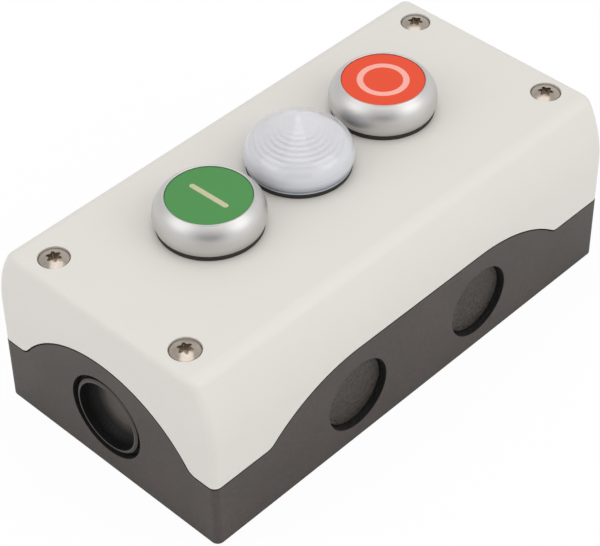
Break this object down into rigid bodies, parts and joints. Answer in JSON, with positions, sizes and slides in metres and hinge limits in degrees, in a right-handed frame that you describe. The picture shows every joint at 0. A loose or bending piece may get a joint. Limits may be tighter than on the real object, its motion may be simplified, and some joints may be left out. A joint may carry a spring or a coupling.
{
  "type": "pushbutton control station",
  "caption": "Wall-mounted control station: moulded two-part enclosure with a flush start button, a signal lamp and a flush stop button on contact elements.",
  "frame": {"origin": "middle of the case's rear face, which lies on the wall", "axes": "+Z out of the wall, X along the enclosure from the start button to the stop button, Y across it"},
  "size_m": [0.153, 0.08, 0.0715],
  "materials": {
    "case_plastic": "fine spark texture, dark warm grey",
    "cover_plastic": "fine satin texture, pale warm grey",
    "gasket_rubber": "matt",
    "seal_rubber": "matt",
    "plug_plastic": "satin",
    "screw_steel": "bright nickel",
    "bezel_metal": "satin",
    "start_green": "satin",
    "start_mark": "satin",
    "stop_red": "satin",
    "stop_mark": "satin",
    "lens_white": "milky, smooth",
    "head_plastic": "moulded",
    "nut_plastic": "moulded",
    "slider_plastic": "moulded",
    "spring_steel": "drawn wire",
    "block_plastic": "moulded",
    "plunger_plastic": "moulded",
    "contact_copper": "stamped",
    "clamp_steel": "zinc plated",
    "board_green": "solder mask",
    "led_clear": "cast"
  },
  "bodies": {
    "root": {"lower_case": "case_plastic", "top_cover": "cover_plastic", "cover_gasket": "gasket_rubber", "cover_screws": "screw_steel", "left_entry_plug": "plug_plastic", "right_entry_plug": "plug_plastic", "lamp_seal": "seal_rubber", "lamp_lens": "lens_white", "lamp_body": "head_plastic", "lamp_ring_nut": "nut_plastic", "led_case": "block_plastic", "led_lid": "block_plastic", "led_terminals": "contact_copper", "led_terminal_clamps": "clamp_steel", "led_terminal_screws": "clamp_steel", "led_board": "board_green", "led_bulb": "led_clear", "start_seal": "seal_rubber", "start_bezel": "bezel_metal", "start_collar": "head_plastic", "start_ring_nut": "nut_plastic", "start_spring_retainer": "head_plastic", "start_return_spring": "spring_steel", "start_contact_case": "block_plastic", "start_contact_lid": "block_plastic", "start_fixed_contacts": "contact_copper", "start_terminal_clamps": "clamp_steel", "start_terminal_screws": "clamp_steel", "start_plunger_spring": "spring_steel", "stop_seal": "seal_rubber", "stop_bezel": "bezel_metal", "stop_collar": "head_plastic", "stop_ring_nut": "nut_plastic", "stop_spring_retainer": "head_plastic", "stop_return_spring": "spring_steel", "stop_contact_case": "block_plastic", "stop_contact_lid": "block_plastic", "stop_fixed_contacts": "contact_copper", "stop_terminal_clamps": "clamp_steel", "stop_terminal_screws": "clamp_steel", "stop_plunger_spring": "spring_steel"},
    "start_button": {"start_cap": "start_green", "start_symbol": "start_mark", "start_slider": "slider_plastic"},
    "start_contact_plunger": {"start_plunger": "plunger_plastic", "start_bridge_spring": "spring_steel"},
    "start_contact_bridge": {"start_bridge": "contact_copper"},
    "stop_button": {"stop_cap": "stop_red", "stop_symbol": "stop_mark", "stop_slider": "slider_plastic"},
    "stop_contact_plunger": {"stop_plunger": "plunger_plastic", "stop_bridge_spring": "spring_steel"},
    "stop_contact_bridge": {"stop_bridge": "contact_copper"}
  },
  "joints": [
    {"name": "start_press", "type": "slide", "parent": "root", "child": "start_button", "axis": [0, 0, -1], "range_m": [0, 0.005], "stiffness_N_per_m": 900, "springref_m": -0.0045, "deforming": ["start_return_spring"]},
    {"name": "start_plunger_slide", "type": "slide", "parent": "root", "child": "start_contact_plunger", "axis": [0, 0, -1], "range_m": [0, 0.005], "deforming": ["start_plunger_spring"]},
    {"name": "start_bridge_slide", "type": "slide", "parent": "root", "child": "start_contact_bridge", "axis": [0, 0, -1], "range_m": [0, 0.0022], "deforming": ["start_bridge_spring"]},
    {"name": "stop_press", "type": "slide", "parent": "root", "child": "stop_button", "axis": [0, 0, -1], "range_m": [0, 0.005], "stiffness_N_per_m": 900, "springref_m": -0.0045, "deforming": ["stop_return_spring"]},
    {"name": "stop_plunger_slide", "type": "slide", "parent": "root", "child": "stop_contact_plunger", "axis": [0, 0, -1], "range_m": [0, 0.005], "deforming": ["stop_plunger_spring"]},
    {"name": "stop_bridge_slide", "type": "slide", "parent": "root", "child": "stop_contact_bridge", "axis": [0, 0, -1], "range_m": [0, 0.004], "deforming": ["stop_bridge_spring"]}
  ],
  "couplings": [
    {"joint": "start_plunger_slide", "follows": "start_press", "ratio": 1},
    {"joint": "start_bridge_slide", "follows": "start_press", "ratio": 0.44},
    {"joint": "stop_plunger_slide", "follows": "stop_press", "ratio": 1},
    {"joint": "stop_bridge_slide", "follows": "stop_press", "ratio": 0.8}
  ]
}
